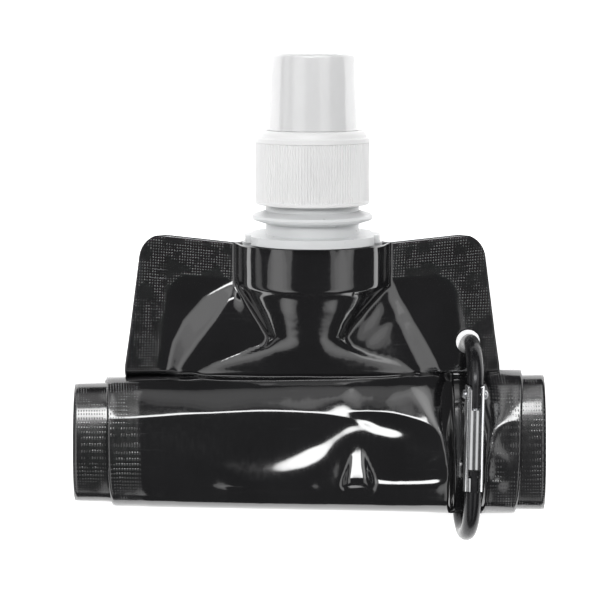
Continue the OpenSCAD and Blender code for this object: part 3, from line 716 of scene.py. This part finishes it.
FILM = film_material()
FINISHES = {
    "spout": plastic("natural_polyethylene", (0.70, 0.71, 0.715), 0.32, subsurface=0.4, radius=2.0),
    "cap_collar": plastic("white_polypropylene", (0.84, 0.84, 0.84), 0.36, subsurface=0.25, radius=0.8),
    "cap_liner": plastic("sealing_foam", (0.72, 0.72, 0.70), 0.8, grain=0.05),
    "valve_nozzle": plastic("nozzle_polypropylene", (0.90, 0.90, 0.91), 0.34, subsurface=0.3, radius=1.0),
    "dust_cover": plastic("hazy_polypropylene", (0.98, 0.981, 0.984), 0.4, grain=0.0, transmission=0.3,
                          ior=1.25, coat=1.0),
    "carabiner_body": metal("black_anodised", (0.016, 0.016, 0.018), 0.26, metallic=0.55,
                            brush=(1, 0.2, 1), coat=0.35),
    "carabiner_gate": metal("bright_alloy", (0.80, 0.81, 0.82), 0.17, brush=(1, 0.04, 1)),
    "gate_rivet": metal("rivet_steel", (0.55, 0.56, 0.58), 0.24, brush=(0.3, 1, 1)),
    "gate_plunger": metal("plunger_steel", (0.58, 0.59, 0.61), 0.28, brush=(1, 0.1, 1)),
    "gate_spring": metal("spring_steel", (0.50, 0.51, 0.53), 0.3)}

for name, mat in FINISHES.items():
    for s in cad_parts[name].material_slots:
        s.material = mat

# ---------------------------------------------------------------- the film's pieces
# rows are closer where the ply shows creases: on the shoulder, and on top of the roll
FRONT_ROWS = film_rows([(RELIEF_LEN, 0.5), (FILM_END, 2.6)])
BACK_ROWS = film_rows([(RELIEF_LEN, 0.9), (62, 1.6), (84, 0.9), (104, 0.15), (120, 1.0), (FILM_END, 2.8)])
front = film_ply("front_ply_film", 1, FRONT_ROWS, 0.45, 0.9, FRONT_STYLE)
back = film_ply("back_ply_film", -1, BACK_ROWS, 0.6, 1.0, BACK_STYLE)
base = base_film()
for piece, cad_node in ((front, "front_film"), (back, "back_film"), (base, "base_gusset")):
    piece.data.materials.append(FILM)
    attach(piece, "pouch")
    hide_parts(cad_node)

# ---------------------------------------------------------------- floor, light and camera
low, high = (Vector(c) for c in CAD_BOX)
middle = (low + high) / 2
middle.z = 0.015
LAMP_DISTANCE = 1.1
FLOOR_REACH, FLOOR_GAP = 3.0, 0.00005


def softbox(name, azimuth, zenith, width, length, radiance, shift=(0, 0, 0), feather=0.45):
    """A softbox LAMP_DISTANCE from the object, azimuth degrees round from +X and zenith degrees
    off overhead, with its length level. Three nested panels give it a soft edge."""
    a, z = radians(azimuth), radians(zenith)
    direction = Vector((cos(a) * sin(z), sin(a) * sin(z), cos(z)))
    level = Vector((-sin(a), cos(a), 0))
    turn = Matrix((level.cross(direction), level, direction)).transposed()
    for part, grow, share in (("core", 1 - feather, 0.4), ("mid", 1.0, 0.35), ("edge", 1 + feather, 0.25)):
        data = bpy.data.lights.new(f"{name}_{part}", "AREA")
        data.shape = "RECTANGLE"
        data.size = width * grow
        data.size_y = length + width * (grow - 1)
        data.energy = radiance * share * data.size * data.size_y * pi
        lamp = bpy.data.objects.new(f"{name}_{part}", data)
        lamp.location = middle + direction * LAMP_DISTANCE + Vector(shift)
        lamp.rotation_euler = turn.to_euler()
        bpy.context.scene.collection.objects.link(lamp)


corners = [(-FLOOR_REACH, -FLOOR_REACH, 0), (FLOOR_REACH, -FLOOR_REACH, 0),
           (FLOOR_REACH, FLOOR_REACH, 0), (-FLOOR_REACH, FLOOR_REACH, 0)]
floor_mesh = bpy.data.meshes.new("floor")
floor_mesh.from_pydata(corners, [], [(0, 1, 2, 3)])
floor = bpy.data.objects.new("floor", floor_mesh)
floor.location.z = low.z - FLOOR_GAP
bpy.context.scene.collection.objects.link(floor)
floor_mat, _, shader = material("white_floor")
shader.inputs["Base Color"].default_value = (0.92, 0.92, 0.92, 1)
shader.inputs["Roughness"].default_value = 0.9
shader.inputs["Specular IOR Level"].default_value = 0.1
shader.inputs["Emission Color"].default_value = (1, 1, 1, 1)
shader.inputs["Emission Strength"].default_value = 0.8
floor_mesh.materials.append(floor_mat)

softbox("left", 180, 35, 0.46, 3.6, 2.0, shift=(0, -0.5, 0))
softbox("right", 0, 30, 0.40, 3.6, 1.85, shift=(0, -0.5, 0))
softbox("low_left", 180, 70, 0.2, 2.4, 0.9)
softbox("top", 90, 15, 0.20, 0.66, 17, shift=(-0.11, 0, 0), feather=0.25)
softbox("far", 80, 42, 0.40, 1.2, 0.85)
softbox("far_right", 45, 36, 0.36, 0.8, 1.4)

world = bpy.data.worlds.new("studio")
world.use_nodes = True
world.node_tree.nodes["Background"].inputs["Color"].default_value = (0.055, 0.055, 0.057, 1)
world.node_tree.nodes["Background"].inputs["Strength"].default_value = 1.0
bpy.context.scene.world = world

camera_data = bpy.data.cameras.new("camera")
camera_data.sensor_width = 36
camera_data.lens = 99.6
camera_data.clip_start = 0.01
camera_data.dof.use_dof = False
# it looks straight down
camera = bpy.data.objects.new("camera", camera_data)
camera.location = (-0.00238, -0.0008, 0.431)
camera.rotation_euler = (0, 0, 0)
bpy.context.scene.collection.objects.link(camera)
bpy.context.scene.camera = camera
bpy.context.scene.view_settings.view_transform = "Standard"
